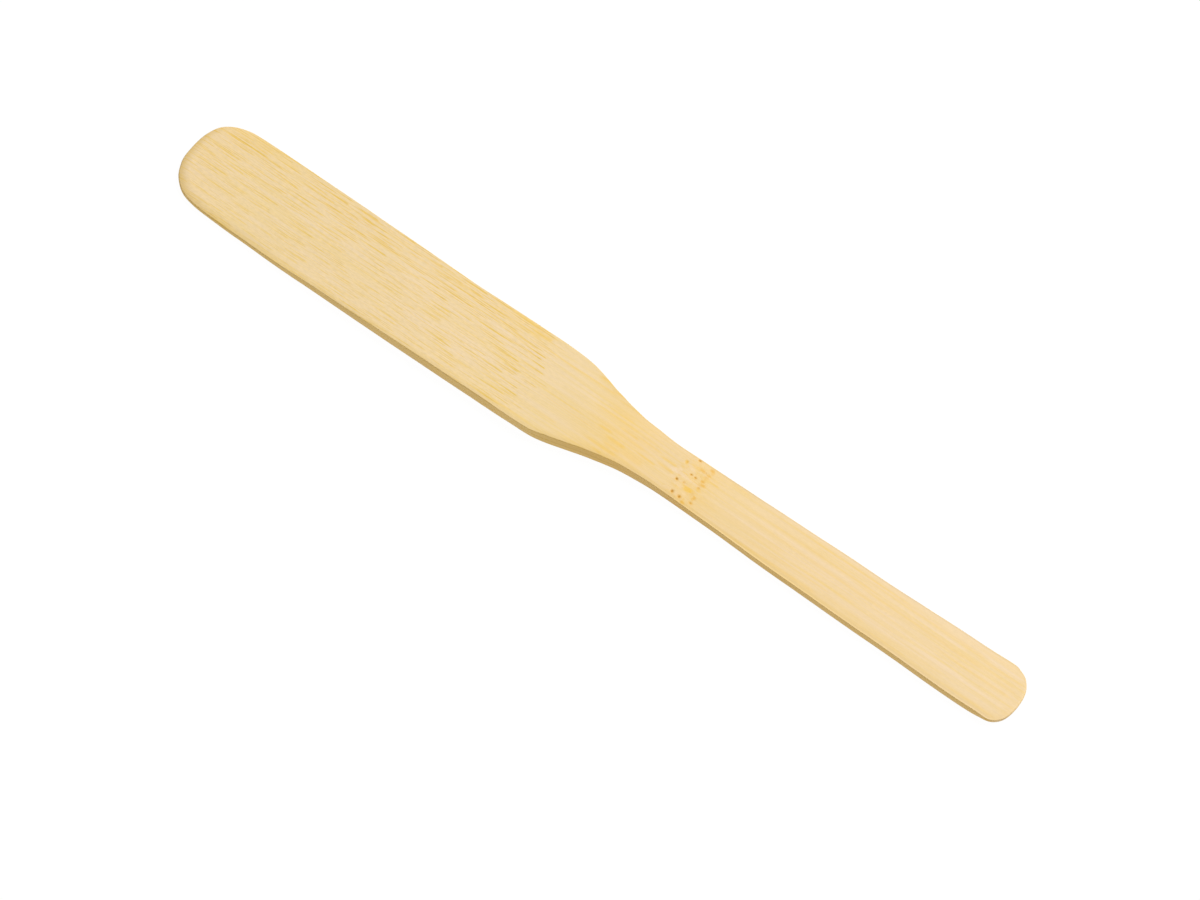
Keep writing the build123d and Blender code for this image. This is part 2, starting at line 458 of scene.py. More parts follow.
def strokes(rows, lean, thin=1.0):
    """Fibre marks: x from, x to, y, half thickness, strength. A mark starts
    faint, is strongest towards its +X end and stops sooner there. lean is how
    much fainter it starts, thin scales the thickness."""
    total = np.zeros(len(mesh_x))
    for i, (start_x, stop_x, mark_y, half, strength) in enumerate(rows):
        share = (mesh_x - 0.5 * (start_x + stop_x)) / (0.5 * (stop_x - start_x))
        live = (np.abs(share) < 1.56) & (np.abs(mesh_y - mark_y) < 4 * half + 0.3)
        if not live.any():
            continue
        share, x, y = share[live], mesh_x[live], mesh_y[live]
        fade = smooth(-1.55, -0.55, share) * (1 - smooth(0.80, 1.14, share))
        fade = fade * (1 - lean + lean * smooth(-1.0, 0.6, share))
        drift = 0.05 * value_noise(x / 5.0, i * 3.7, 44) + 0.03 * share * math.sin(i * 2.3)
        offset = (y - mark_y - drift) / (half * thin * (0.62 + 0.38 * fade))
        height = strength * fade * (1 + 0.18 * value_noise(x / 1.3, i * 1.9, 45))
        total[live] = np.maximum(total[live], height * np.exp(-0.8 * offset * offset))
    return total * top_part


# strokes: cut ends of the darker fibre bundles where they surface on the blade
DASHES = [
    (-96.7, -86.2, 7.20, 0.19, 1.00), (-91.3, -84.6, 9.62, 0.20, 0.42),
    (-94.9, -86.7, 7.95, 0.22, 0.50), (-97.4, -88.7, 6.40, 0.16, 0.35),
    (-98.4, -90.0, 3.56, 0.18, 0.65), (-98.6, -90.0, -0.67, 0.17, 0.70),
    (-98.4, -94.6, 1.38, 0.16, 0.50), (-92.3, -86.7, 1.38, 0.16, 0.35),
    (-93.0, -85.6, -3.50, 0.17, 0.50), (-90.3, -84.6, 4.10, 0.15, 0.40),
    (-88.0, -79.0, 2.67, 0.17, 0.55), (-84.9, -77.7, 0.05, 0.18, 0.72),
    (-89.7, -84.6, -1.75, 0.16, 0.45), (-83.6, -77.4, 5.56, 0.17, 0.60),
    (-83.2, -79.5, 4.97, 0.14, 0.40), (-88.5, -83.6, 5.70, 0.15, 0.35),
    (-85.6, -80.0, -7.00, 0.16, 0.50), (-85.9, -81.5, -4.50, 0.17, 0.55),
    (-83.6, -81.0, -5.00, 0.14, 0.40), (-78.7, -74.9, -6.00, 0.15, 0.40),
    (-83.0, -78.0, -2.25, 0.16, 0.45), (-81.0, -77.0, -3.00, 0.14, 0.35),
    (-78.5, -71.5, 4.38, 0.17, 0.62), (-78.7, -72.5, 3.50, 0.17, 0.62),
    (-73.8, -70.0, 2.46, 0.15, 0.42), (-78.0, -74.0, 1.05, 0.15, 0.42),
    (-72.3, -66.7, 8.50, 0.20, 0.90), (-71.5, -66.4, 6.10, 0.20, 0.80),
    (-70.0, -67.0, 5.50, 0.15, 0.50), (-68.5, -62.8, 7.00, 0.17, 0.52),
    (-73.8, -67.7, -1.60, 0.17, 0.58), (-66.4, -61.3, -0.92, 0.16, 0.52),
    (-69.2, -63.0, 1.10, 0.16, 0.55), (-69.9, -61.9, 1.77, 0.14, 0.42),
    (-69.7, -63.3, 0.10, 0.15, 0.45), (-75.0, -71.5, -4.50, 0.15, 0.42),
    (-70.8, -65.4, -6.60, 0.17, 0.55), (-73.3, -70.2, -7.20, 0.14, 0.42),
    (-65.6, -61.3, -4.40, 0.17, 0.52), (-68.7, -65.4, -3.35, 0.15, 0.35),
    (-64.8, -59.8, 8.95, 0.20, 0.92), (-63.3, -59.8, 7.72, 0.22, 0.88),
    (-64.4, -59.6, 4.70, 0.19, 0.80), (-67.0, -63.0, 2.85, 0.15, 0.38),
    (-97.0, -88.0, -6.15, 0.16, 0.42), (-72.8, -69.7, -5.50, 0.13, 0.32),
    (-77.4, -74.9, -3.60, 0.14, 0.36), (-72.0, -66.8, -7.90, 0.15, 0.36),
    (-55.8, -50.7, 9.26, 0.20, 0.78), (-46.9, -43.2, 8.10, 0.20, 0.85),
    (-50.4, -46.0, 7.00, 0.17, 0.70), (-57.7, -54.2, 6.25, 0.17, 0.52),
    (-60.0, -55.3, 5.70, 0.15, 0.45), (-56.6, -51.4, 5.17, 0.18, 0.72),
    (-58.5, -53.8, 3.58, 0.19, 0.85), (-45.8, -40.7, 3.94, 0.19, 0.82),
    (-48.3, -45.3, 3.40, 0.16, 0.45), (-43.2, -38.0, 2.66, 0.20, 0.88),
    (-45.3, -37.8, 5.40, 0.18, 0.66), (-45.8, -42.0, 6.20, 0.14, 0.36),
    (-39.0, -32.7, 8.58, 0.21, 0.98), (-39.7, -33.2, 7.45, 0.19, 0.78),
    (-39.7, -36.2, 7.00, 0.15, 0.50), (-40.5, -33.0, 6.36, 0.19, 0.76),
    (-39.7, -33.0, 4.55, 0.18, 0.85), (-40.7, -36.0, 1.00, 0.18, 0.78),
    (-30.8, -24.0, 3.00, 0.20, 0.98), (-30.2, -23.0, 1.72, 0.17, 0.66),
    (-31.0, -23.0, 5.60, 0.26, 0.55), (-49.0, -42.0, 0.20, 0.16, 0.52),
    (-51.5, -46.6, -0.62, 0.18, 0.68), (-52.8, -47.7, -1.88, 0.17, 0.66),
    (-44.8, -41.8, -2.60, 0.19, 0.60), (-51.0, -47.5, -2.95, 0.14, 0.42),
    (-54.5, -49.3, -3.90, 0.17, 0.56), (-55.5, -52.0, -4.60, 0.14, 0.36),
    (-60.0, -55.5, -5.35, 0.17, 0.62), (-49.0, -44.5, -6.57, 0.19, 0.76),
    (-48.5, -44.2, -7.55, 0.15, 0.50), (-50.0, -45.8, -8.35, 0.18, 0.66),
    (-48.0, -43.4, -9.70, 0.16, 0.50), (-62.0, -57.2, -8.90, 0.16, 0.45),
    (-41.0, -36.5, -0.85, 0.15, 0.50), (-41.0, -36.3, -1.45, 0.16, 0.52),
    (-34.3, -26.0, -0.30, 0.16, 0.52), (-34.3, -29.7, -2.77, 0.15, 0.42),
    (-39.4, -34.3, -3.70, 0.16, 0.46), (-38.3, -33.0, -4.70, 0.17, 0.68),
    (-43.2, -39.0, -5.20, 0.15, 0.42), (-34.3, -29.5, -6.20, 0.17, 0.62),
    (-40.5, -33.5, -7.40, 0.18, 0.66), (-33.5, -27.8, -8.15, 0.17, 0.62),
    (-39.0, -34.8, -8.60, 0.14, 0.46), (-34.3, -29.5, -9.10, 0.14, 0.40),
    (-30.0, -27.5, -5.20, 0.15, 0.50), (-25.0, -20.0, -3.30, 0.20, 0.84),
    (-22.4, -17.8, -2.45, 0.16, 0.62), (-21.3, -17.0, -1.20, 0.17, 0.72),
    (-24.3, -21.6, -4.80, 0.14, 0.40), (-24.4, -18.6, 0.38, 0.18, 0.72),
    (-22.6, -17.5, 4.85, 0.16, 0.60), (-19.2, -15.0, 4.20, 0.18, 0.92),
    (-18.9, -15.6, 3.42, 0.18, 0.84), (-17.3, -13.8, 2.30, 0.18, 0.80),
    (-20.2, -17.5, 2.30, 0.14, 0.48), (-18.6, -13.2, 1.05, 0.17, 0.72),
    (-16.0, -12.7, -1.95, 0.15, 0.62), (-17.0, -11.0, -0.75, 0.15, 0.50),
    (-20.0, -15.4, -4.33, 0.17, 0.68), (-19.2, -14.6, -5.65, 0.18, 0.78),
    (-22.7, -19.4, -5.50, 0.14, 0.40), (-21.3, -16.7, -6.90, 0.17, 0.66),
    (-16.5, -12.0, -7.40, 0.14, 0.32), (-22.0, -16.5, -9.00, 0.16, 0.40),
]
# strokes: golden bands and warmer fibres, mostly on neck, node band and handle
GOLD_STROKES = [
    (-21.0, -16.3, 7.95, 0.42, 0.85), (-23.5, -18.5, 7.05, 0.30, 0.70),
    (-27.0, -19.5, 8.75, 0.36, 0.90), (-30.5, -23.0, 7.30, 0.70, 0.32),
    (-86.0, -79.5, 8.70, 0.60, 0.28), (-97.0, -86.0, 8.60, 0.80, 0.30),
    (-15.8, 1.2, 5.95, 0.20, 0.72), (-4.3, -1.2, 7.50, 0.24, 0.90),
    (-0.6, 2.8, 6.42, 0.22, 0.75), (2.5, 9.0, 5.45, 0.22, 0.40),
    (-13.0, -2.0, -1.30, 0.17, 0.45), (-12.0, 1.0, -2.45, 0.20, 0.35),
    (-11.0, -5.0, -5.95, 0.22, 0.45), (-17.0, -9.0, -9.00, 0.20, 0.40),
    (2.0, 4.8, -1.05, 0.28, 0.90), (4.6, 8.8, -2.25, 0.34, 0.80),
    (4.8, 8.4, -3.65, 0.26, 0.70), (1.8, 8.4, -4.68, 0.30, 0.66),
    (3.8, 5.8, -5.90, 0.20, 0.55), (5.6, 9.8, 0.85, 0.26, 0.52),
    (-1.0, 9.0, 2.10, 0.30, 0.40), (1.5, 7.0, 3.40, 0.60, 0.30),
    (0.0, 12.0, -0.30, 0.50, 0.28), (8.5, 13.5, -3.00, 0.60, 0.34),
    (11.6, 15.4, -1.42, 0.20, 0.80), (15.3, 18.9, 0.93, 0.22, 0.90),
    (15.6, 19.3, -0.66, 0.28, 0.78), (9.5, 15.0, 1.30, 0.25, 0.34),
    (20.4, 21.9, -2.45, 0.18, 0.60), (22.1, 24.4, 0.45, 0.13, 0.55),
    (20.6, 21.8, 0.80, 0.13, 0.45), (25.0, 27.9, 2.22, 0.15, 0.70),
    (25.6, 27.4, 2.92, 0.13, 0.35), (26.0, 31.0, -1.90, 0.60, 0.30),
    (28.3, 34.0, 4.55, 0.26, 0.50), (46.0, 73.0, 4.20, 0.16, 0.85),
    (38.0, 66.0, 2.30, 0.26, 0.48), (35.0, 70.0, 0.45, 0.24, 0.50),
    (27.0, 46.0, -1.60, 0.60, 0.36), (50.0, 63.0, -2.05, 0.20, 0.38),
    (43.0, 58.0, -2.92, 0.18, 0.40), (27.0, 48.0, -3.42, 0.24, 0.38),
    (34.0, 56.0, -4.62, 0.26, 0.70), (58.0, 67.0, -3.95, 0.22, 0.32),
    (63.0, 91.0, 3.75, 0.34, 0.48), (64.0, 91.0, 1.65, 0.46, 0.52),
    (76.0, 87.0, 1.45, 0.24, 0.60), (89.0, 98.6, 3.20, 0.24, 0.58),
    (90.0, 97.6, 2.00, 0.18, 0.42), (90.5, 98.6, 1.22, 0.15, 0.38),
    (86.0, 95.0, 5.05, 0.26, 0.48), (81.0, 98.0, -0.10, 0.34, 0.52),
    (67.0, 77.0, -5.00, 0.16, 0.42), (87.0, 98.0, -5.20, 0.28, 0.42),
    (69.0, 85.0, -4.10, 0.28, 0.32),
]
GOLD_SPOTS = [
    (23.7, -1.58, 1.40, 0.78, 1.00), (25.3, -0.60, 0.7, 0.50, 0.60),
    (24.3, -4.35, 0.60, 0.40, 0.62), (22.5, -1.45, 0.5, 0.35, 0.55),
    (19.95, 2.95, 0.55, 0.55, 0.75), (19.9, 1.80, 0.7, 0.35, 0.40),
    (22.2, 3.20, 1.8, 0.55, 0.40), (24.0, -3.75, 0.4, 0.35, 0.45),
    (3.6, -1.05, 2.4, 0.48, 0.26), (6.6, -2.35, 2.8, 0.62, 0.28),
    (6.6, -3.70, 2.8, 0.60, 0.24), (5.2, -4.75, 3.4, 0.45, 0.26),
    (25.1, 2.0, 0.9, 3.2, 0.26), (25.3, -2.6, 0.7, 1.8, 0.22),
]
# spots: amber stains, mostly round the pits
HALO_SPOTS = [
    (21.72, 4.68, 0.60, 0.30, 0.76), (22.18, 1.30, 0.56, 0.44, 0.85),
    (23.18, 1.22, 0.56, 0.44, 1.00), (20.46, -1.10, 0.52, 0.46, 0.95),
    (21.33, -3.70, 0.52, 0.46, 0.95), (23.05, -3.82, 0.55, 0.46, 1.00),
    (23.60, 3.30, 0.85, 0.34, 0.72), (24.85, 3.12, 0.65, 0.36, 0.80),
    (24.85, 4.45, 0.70, 0.40, 0.72), (24.80, 1.45, 0.62, 0.46, 0.76),
    (25.25, 0.80, 0.75, 0.40, 0.70), (24.95, -0.10, 0.42, 0.38, 0.60),
    (25.55, -2.50, 0.50, 0.74, 0.70), (25.62, -3.60, 0.56, 0.30, 0.82),
    (20.40, -0.10, 0.40, 0.28, 0.42), (22.00, -0.92, 0.40, 0.36, 0.48),
    (24.30, -4.45, 0.60, 0.32, 0.48), (25.30, 3.95, 0.40, 0.50, 0.42),
    (19.95, 3.08, 0.40, 0.36, 0.50), (24.90, 2.30, 0.50, 0.60, 0.40),
    (24.70, -1.90, 0.50, 0.60, 0.30), (24.60, 0.45, 0.40, 0.50, 0.34),
    (-19.5, 8.70, 1.6, 0.30, 0.30), (-3.0, 7.50, 1.2, 0.22, 0.35),
]
PALE_STROKES = [
    (17.6, 25.2, 0.06, 0.24, 0.85), (72.0, 85.5, 2.80, 0.24, 0.70),
    (62.0, 76.0, 2.85, 0.22, 0.55), (89.5, 98.0, 4.15, 0.26, 0.75),
    (76.0, 89.0, -2.28, 0.24, 0.70), (87.0, 98.0, -2.60, 0.28, 0.55),
    (35.0, 61.0, 1.42, 0.32, 0.62), (33.0, 51.0, 3.20, 0.28, 0.45),
    (27.0, 43.0, -0.60, 0.28, 0.40), (39.0, 59.0, -2.55, 0.14, 0.42),
    (27.0, 39.0, -3.02, 0.16, 0.38), (35.0, 57.0, -3.90, 0.19, 0.50),
    (66.0, 82.0, -1.40, 0.80, 0.30), (63.0, 81.0, -3.30, 0.16, 0.38),
    (89.0, 98.5, 0.60, 0.14, 0.42), (27.0, 99.0, 5.18, 0.55, 0.66),
    (3.0, 31.0, 4.55, 0.80, 0.44),
    (-19.5, -15.0, 4.52, 0.12, 0.50), (-13.5, -1.0, 2.60, 0.55, 0.28),
    (-10.0, -4.0, 6.90, 0.30, 0.35), (16.0, 20.0, -1.45, 0.14, 0.50),
    (20.3, 22.2, -2.00, 0.18, 0.62), (-29.0, -23.0, 4.10, 0.30, 0.28),
    (-64.0, -56.0, 2.30, 0.45, 0.22), (-52.0, -45.0, 1.20, 0.35, 0.22),
]
# the last three are wide, faint patches on the blade
PALE_SPOTS = [
    (19.15, 0.12, 1.25, 0.42, 1.00), (19.85, 0.95, 0.45, 0.38, 0.65),
    (21.7, 2.25, 0.90, 0.55, 0.85), (23.5, -2.82, 0.90, 0.30, 0.65),
    (22.2, -3.80, 0.45, 0.45, 0.50), (22.5, 4.10, 0.7, 0.4, 0.35),
    (18.9, -1.45, 0.8, 0.20, 0.35),
    (-45.5, -0.3, 8.5, 9.5, 0.14), (-41.0, -8.0, 25.0, 2.5, 0.25),
    (-30.0, -0.9, 11.0, 1.5, 0.18),
]
mask("pit", pit_mask())
mask("dash", 1.26 * strokes(DASHES, lean=0.34, thin=0.56))
mask("gold", np.maximum(strokes(GOLD_STROKES, lean=0.15) * 0.74, spots(GOLD_SPOTS)))
mask("halo", spots(HALO_SPOTS))
mask("pale", np.maximum(strokes(PALE_STROKES, lean=0.10), spots(PALE_SPOTS)))


def ring_mask(name, value_at):
    """Mask worked out from each ring's inset; the spines get none."""
    mask(name, np.concatenate([value_at(ring[3]) for ring in rings]
                              + [np.zeros(2 * (LAST - 1))]))


# painted shade: the rim's warmer, deeper tint, strongest round the tip and along its -Y side,
# which face away from the key light
rim_shade_share = np.clip((0.46 + 0.54 * tip_blend) * near_facing
                     + 0.62 * tip_blend * tip_facing * (1 - near_facing) + 0.14, 0, 1)
ring_mask("rim", lambda inset: 1 - np.minimum(1.0, inset / 1.2))
ring_mask("rim_shade_tint", lambda inset: rim_shade_share * (1 - smooth(0.45, 1.75, inset)))

# ------------------------------------------------------------ shader helpers
bamboo = bpy.data.materials.new("bamboo")
bamboo.use_nodes = True
tree = bamboo.node_tree
tree.nodes.clear()


def node(kind, **settings):
    made = tree.nodes.new(kind)
    count = len(tree.nodes)
    made.location = (180 * (count // 6), -160 * (count % 6))
    for key, value in settings.items():
        setattr(made, key, value)
    return made


def put(socket, value):
    """Link a socket, or set a number or an RGB colour."""
    if isinstance(value, bpy.types.NodeSocket):
        tree.links.new(value, socket)
    elif isinstance(value, tuple):
        socket.default_value = (*value, 1.0)
    else:
        socket.default_value = value


def calc(operation, *values, clamp=False):
    made = node("ShaderNodeMath", operation=operation, use_clamp=clamp)
    for socket, value in zip(made.inputs, values):
        put(socket, value)
    return made.outputs[0]


def add(first, second): return calc("ADD", first, second)
def sub(first, second): return calc("SUBTRACT", first, second)
def mul(first, second): return calc("MULTIPLY", first, second)
def mul_add(value, scale, offset): return calc("MULTIPLY_ADD", value, scale, offset)


def step(start, stop, value):
    """Smooth step from 0 at start to 1 at stop; stop may lie below start."""
    made = node("ShaderNodeMapRange", interpolation_type="SMOOTHSTEP")
    put(made.inputs["Value"], value)
    limits = (start, stop, 0.0, 1.0) if stop >= start else (stop, start, 1.0, 0.0)
    for key, limit in zip(("From Min", "From Max", "To Min", "To Max"), limits):
        made.inputs[key].default_value = limit
    return made.outputs[0]


def vector(*parts):
    made = node("ShaderNodeCombineXYZ")
    for socket, value in zip(made.inputs, (*parts, 0.0)):
        put(socket, value)
    return made.outputs[0]


def split(value):
    made = node("ShaderNodeSeparateXYZ")
    put(made.inputs[0], value)
    return made.outputs


def noise(place, detail=2.0, rough=0.5):
    made = node("ShaderNodeTexNoise")
    put(made.inputs["Vector"], place)
    for key, value in (("Scale", 1.0), ("Detail", detail), ("Roughness", rough),
                       ("Distortion", 0.0)):
        made.inputs[key].default_value = value
    return made.outputs[0]


def grain(run, cross, length, width, shift, **settings):
    """Noise of the given grain length and width; shift picks another slice."""
    return noise(vector(mul(run, 1 / length), mul(cross, 1 / width), shift), **settings)


def cells(place):
    made = node("ShaderNodeTexVoronoi", voronoi_dimensions="2D", feature="F1")
    put(made.inputs["Vector"], place)
    made.inputs["Scale"].default_value = 1.0
    made.inputs["Randomness"].default_value = 0.92
    return made.outputs


def mix(share, first, second, mode="MIX"):
    made = node("ShaderNodeMix", data_type="RGBA", blend_type=mode)
    put(made.inputs["Factor"], share)
    put(made.inputs[6], first)
    put(made.inputs[7], second)
    return made.outputs[2]


def shade(share, colour, multiplier):
    return mix(share, colour, mix(1.0, colour, multiplier, "MULTIPLY"))


def painted(name):
    return node("ShaderNodeAttribute", attribute_name=name).outputs["Fac"]


# ------------------------------------------------------------ bamboo: palette
TOP_LIGHT = 1.10                           # light on the top face, divided out


def tone(*srgb):
    """Base colour that shows as the given sRGB colour (0-255) on the top face."""
    shares = [value / 255.0 for value in srgb]
    linear = [share / 12.92 if share <= 0.04045 else ((share + 0.055) / 1.055) ** 2.4
              for share in shares]
    return tuple(min(0.95, value / TOP_LIGHT) for value in linear)


PALE = tone(242, 216.6, 178)
STRAW = tone(241, 212.9, 157)
WARM = tone(240.5, 209.8, 136)
HONEY_NEAR = tone(241, 201, 88)
HONEY_FAR = tone(244, 200.5, 84)
DASH_CORE = tone(204, 172, 74)
GOLD = tone(245, 204.5, 98)
CREAM = tone(246, 222, 190)
AMBER = tone(236, 180, 46)
BROWN = tone(184, 126, 4)
BUNDLE_END = tone(170, 128, 62)

# the wood's own change of tone along its length: x, then a multiplier
LENGTH_TONE = [
    (-100.0, (1.0, 0.99, 0.985)), (-94.0, (1.0, 0.99, 0.985)),
    (-84.0, (0.985, 0.982, 0.925)), (-65.0, (1.0, 1.0, 1.0)),
    (-45.0, (1.0, 1.0, 1.0)), (-25.0, (1.0, 0.995, 0.99)),
    (-15.0, (1.0, 0.993, 0.967)), (-5.0, (1.0, 0.997, 0.98)),
    (4.0, (1.0, 0.938, 0.70)), (12.0, (0.99, 0.93, 0.785)),
    (18.0, (0.97, 0.947, 0.90)), (21.5, (1.0, 0.945, 0.82)),
    (24.5, (1.0, 0.926, 0.715)), (30.0, (1.0, 0.978, 0.927)),
    (43.0, (1.0, 0.97, 0.915)), (65.0, (1.0, 0.972, 0.948)),
    (85.0, (1.0, 0.985, 0.984)), (100.0, (1.0, 0.976, 0.945)),
]

# ------------------------------------------- bamboo: place, facing and fibres
coordinates = node("ShaderNodeTexCoord")
in_mm = node("ShaderNodeVectorMath", operation="SCALE")
put(in_mm.inputs[0], coordinates.outputs["Object"])
in_mm.inputs["Scale"].default_value = 1000.0
x, y, z = split(in_mm.outputs[0])
normal_x, normal_y, normal_z = split(coordinates.outputs["Normal"])

# which way the surface faces: top and underside are cut along the fibres
# in plan, the sides are cut along them edge-on, the two ends across them
flatness = calc("ABSOLUTE", normal_z)
side = calc("LESS_THAN", flatness, 0.50)
tilt = calc("SUBTRACT", 1.0, mul(flatness, flatness), clamp=True)
at_end = step(91.0, 95.5, x)
# painted shade: the side tint is weaker where the surface faces +X or +Y, towards the key light,
# and at the +X corners of the handle end
side_shade_tint = mul(tilt, sub(mul_add(step(0.25, 0.80, normal_x), -0.60, 1.0),
                          mul(mul(step(0.02, 0.45, normal_x), at_end), 0.40)))
side_shade_tint = mul(side_shade_tint, mul_add(step(0.05, 0.75, normal_y), -0.54, 1.0))
under = calc("LESS_THAN", normal_z, -0.50)
upper = step(0.20, 0.70, normal_z)
end_grain = mul(tilt, step(0.70, 0.93, calc("ABSOLUTE", normal_x)))
end_rim = mul(mul(step(0.01, 0.14, tilt), step(0.0, 0.22, normal_x)), at_end)

# fibre coordinates, shifted so that each face shows its own fibres
SIDE_SHIFT_Z, SIDE_SHIFT_X = 31.0, 83.0
UNDER_SHIFT_Y, UNDER_SHIFT_X = 57.0, 143.0
across = add(add(mul(y, sub(1.0, side)), mul(add(z, SIDE_SHIFT_Z), side)),
             mul(under, UNDER_SHIFT_Y))
along = add(add(x, mul(under, UNDER_SHIFT_X)),
            mul(side, mul(calc("SIGN", normal_y), SIDE_SHIFT_X)))

# fibres wander a little, and swirl inside the node band
wander = sub(grain(along, across, length=33.0, width=8.0, shift=3.0, detail=1.0), 0.5)
band = mul(step(17.0, 20.5, x), step(27.5, 24.5, x))
swirl = sub(grain(along, across, length=2.6, width=1.5, shift=9.0), 0.5)
fibre = add(across, add(mul(wander, 0.40), mul(mul(swirl, band), 2.0)))

# the dashes stop towards the shoulders, each fibre in its own place
ragged = sub(noise(vector(mul(across, 1 / 1.1), 5.0, 1.0), detail=1.0), 0.5)
blade = step(-11.0, -18.5, add(x, mul(ragged, 11.0)))
handle = step(24.0, 34.0, x)
plain = step(-16.0, -8.0, x)               # neck and handle together


def loose_dashes(cell_length, cell_width, shift, half_length, half_width):
    """Short pieces of cut vascular bundle, one to a cell: faint where they
    start, and darker where they end."""
    place = vector(add(mul(along, 1.0 / cell_length), shift), mul(fibre, 1.0 / cell_width))
    place_x, place_y, _ = split(place)
    _, cell_colour, centre, *_ = cells(place)
    centre_x, centre_y, _ = split(centre)
    random_length, random_width, random_keep = split(cell_colour)
    reach = mul_add(random_length, half_length * 0.9, half_length * 0.55)
    half = mul_add(random_width, half_width * 0.8, half_width * 0.6)
    share = calc("DIVIDE", mul(sub(place_x, centre_x), cell_length), reach)
    fade = mul(step(-1.35, 0.35, share), step(1.20, 0.62, share))
    offset = calc("DIVIDE", calc("ABSOLUTE", mul(sub(place_y, centre_y), cell_width)),
                  mul(half, mul_add(fade, 0.45, 0.55)))
    return mul(mul(fade, step(1.75, 0.15, offset)), step(0.02, 0.02 + 0.35, random_keep))


broad_dashes = loose_dashes(cell_length=9.0, cell_width=0.92, shift=3.7,
                            half_length=3.3, half_width=0.120)
fine_dashes = loose_dashes(cell_length=8.6, cell_width=0.44, shift=17.3,
                           half_length=3.6, half_width=0.066)
# stronger towards the +Y edge and the root of the blade, and in patches
crowding = mul_add(step(-1.0, 9.0, y), 0.28, mul_add(step(-95.0, -45.0, x), 0.18, 0.66))
patch = mul_add(grain(along, across, length=14.0, width=4.0, shift=21.0, detail=1.0), 0.9, 0.52)
loose = mul(mul(mul_add(broad_dashes, mul_add(upper, -0.70, 1.0), mul(fine_dashes, 0.80)),
                mul(crowding, patch)), blade)
loose = mul(loose, mul_add(side, -0.45, 1.0))
dash = calc("MAXIMUM", painted("dash"), loose)

# long soft streaks, fine fibre lines, broad bands
streak_long = grain(along, fibre, length=46.0, width=0.95, shift=2.0, detail=3.0, rough=0.55)
streak_mid = grain(along, fibre, length=15.0, width=0.46, shift=6.0)
streak_fine = grain(along, fibre, length=9.0, width=0.15, shift=12.0, rough=0.6)
streak_wide = grain(along, fibre, length=75.0, width=3.1, shift=15.0, detail=1.0)
streak_plain = grain(along, fibre, length=55.0, width=0.30, shift=27.0)
mottle = grain(along, across, length=9.0, width=5.0, shift=33.0)

# ------------------------------------------------------------ bamboo: colour


def fibre_colour():
    """Pale wood with its streaks and dashes; neck and handle are calmer."""
    honey = mix(step(-3.0, 8.5, y), HONEY_NEAR, HONEY_FAR)
    long_share = mul_add(plain, 0.30, 0.62)
    colour = mix(0.40, PALE, STRAW)
    colour = mix(long_share, colour, mix(step(0.30, 0.72, streak_long), PALE, STRAW))
    colour = mix(mul(step(0.42, 0.78, streak_mid), 0.40), colour, WARM)
    colour = mix(mul(step(0.45, 0.75, streak_wide), 0.28), colour, WARM)
    colour = mix(mul(step(0.52, 0.80, streak_fine), mul_add(plain, -0.35, 0.67)), colour, WARM)
    colour = mix(mul(step(0.52, 0.28, streak_fine), mul_add(plain, -0.32, 0.58)), colour, PALE)
    calm = mul(plain, mul_add(handle, -0.26, 1.0))
    colour = mix(mul(mul(step(0.50, 0.74, streak_plain), calm), 0.50), colour, WARM)
    colour = mix(mul(mul(step(0.50, 0.28, streak_plain), calm), 0.40), colour, PALE)
    colour = mix(calc("MINIMUM", mul(dash, 1.08), 1.0), colour, honey)
    return mix(mul(mul(dash, dash), 0.36), colour, DASH_CORE)


def with_marks(colour):
    """The painted masks, then the fibres inside the node band."""
    colour = mix(mul(painted("gold"), mul_add(handle, -0.20, 0.92)), colour, GOLD)
    colour = mix(mul(painted("pale"), mul_add(handle, -0.16, 0.82)), colour, CREAM)
    colour = mix(mul(painted("halo"), 0.80), colour, AMBER)
    colour = mix(mul(painted("pit"), 0.92), colour, BROWN)
    # the short fibres that feed the node show as fine specks
    speck = grain(along, fibre, length=0.55, width=0.22, shift=61.0, rough=0.6)
    colour = mix(mul(mul(step(0.56, 0.72, speck), band), 0.30), colour, AMBER)
    colour = mix(mul(mul(step(0.46, 0.30, speck), band), 0.35), colour, PALE)
    # the underside and the sides also cross the node band
    lower_band = mul(band, calc("MAXIMUM", under, side))
    blotch = grain(along, across, length=1.3, width=0.7, shift=51.0, rough=0.55)
    return mix(mul(mul(lower_band, step(0.52, 0.70, blotch)), 0.55), colour, AMBER)


def length_tone():
    made = node("ShaderNodeValToRGB")
    made.color_ramp.interpolation = "B_SPLINE"
    stops = made.color_ramp.elements
    while len(stops) > 1:
        stops.remove(stops[-1])
    for i, (stop_x, multiplier) in enumerate(LENGTH_TONE):
        position = (stop_x + 100.0) / 200.0
        stop = stops[0] if i == 0 else stops.new(position)
        stop.position = position
        stop.color = (*multiplier, 1.0)
    put(made.inputs[0], mul_add(x, 0.005, 0.5))
    return made.outputs[0]


def with_tone(colour):
    colour = mix(1.0, colour, length_tone(), "MULTIPLY")
    # a shade more gold towards the blade's +Y edge
    colour = shade(mul(step(4.0, 9.5, y), sub(1.0, plain)), colour, (1.0, 0.994, 0.965))
    colour = mix(1.0, colour, mix(step(0.3, 0.7, mottle), (0.985, 0.985, 0.98),
                                  (1.0, 1.0, 1.0)), "MULTIPLY")
    # sanded-open fibre ends: tiny light and dark flecks, fainter on the handle
    fleck = grain(along, fibre, length=1.1, width=0.27, shift=71.0, rough=0.7)
    fleck_share = mul(mul_add(plain, -0.48, 1.0), mul_add(side, -0.6, 1.0))
    return shade(fleck_share, colour, mix(step(0.28, 0.72, fleck), (0.947, 0.950, 0.957),
                                          (1.051, 1.048, 1.042)))


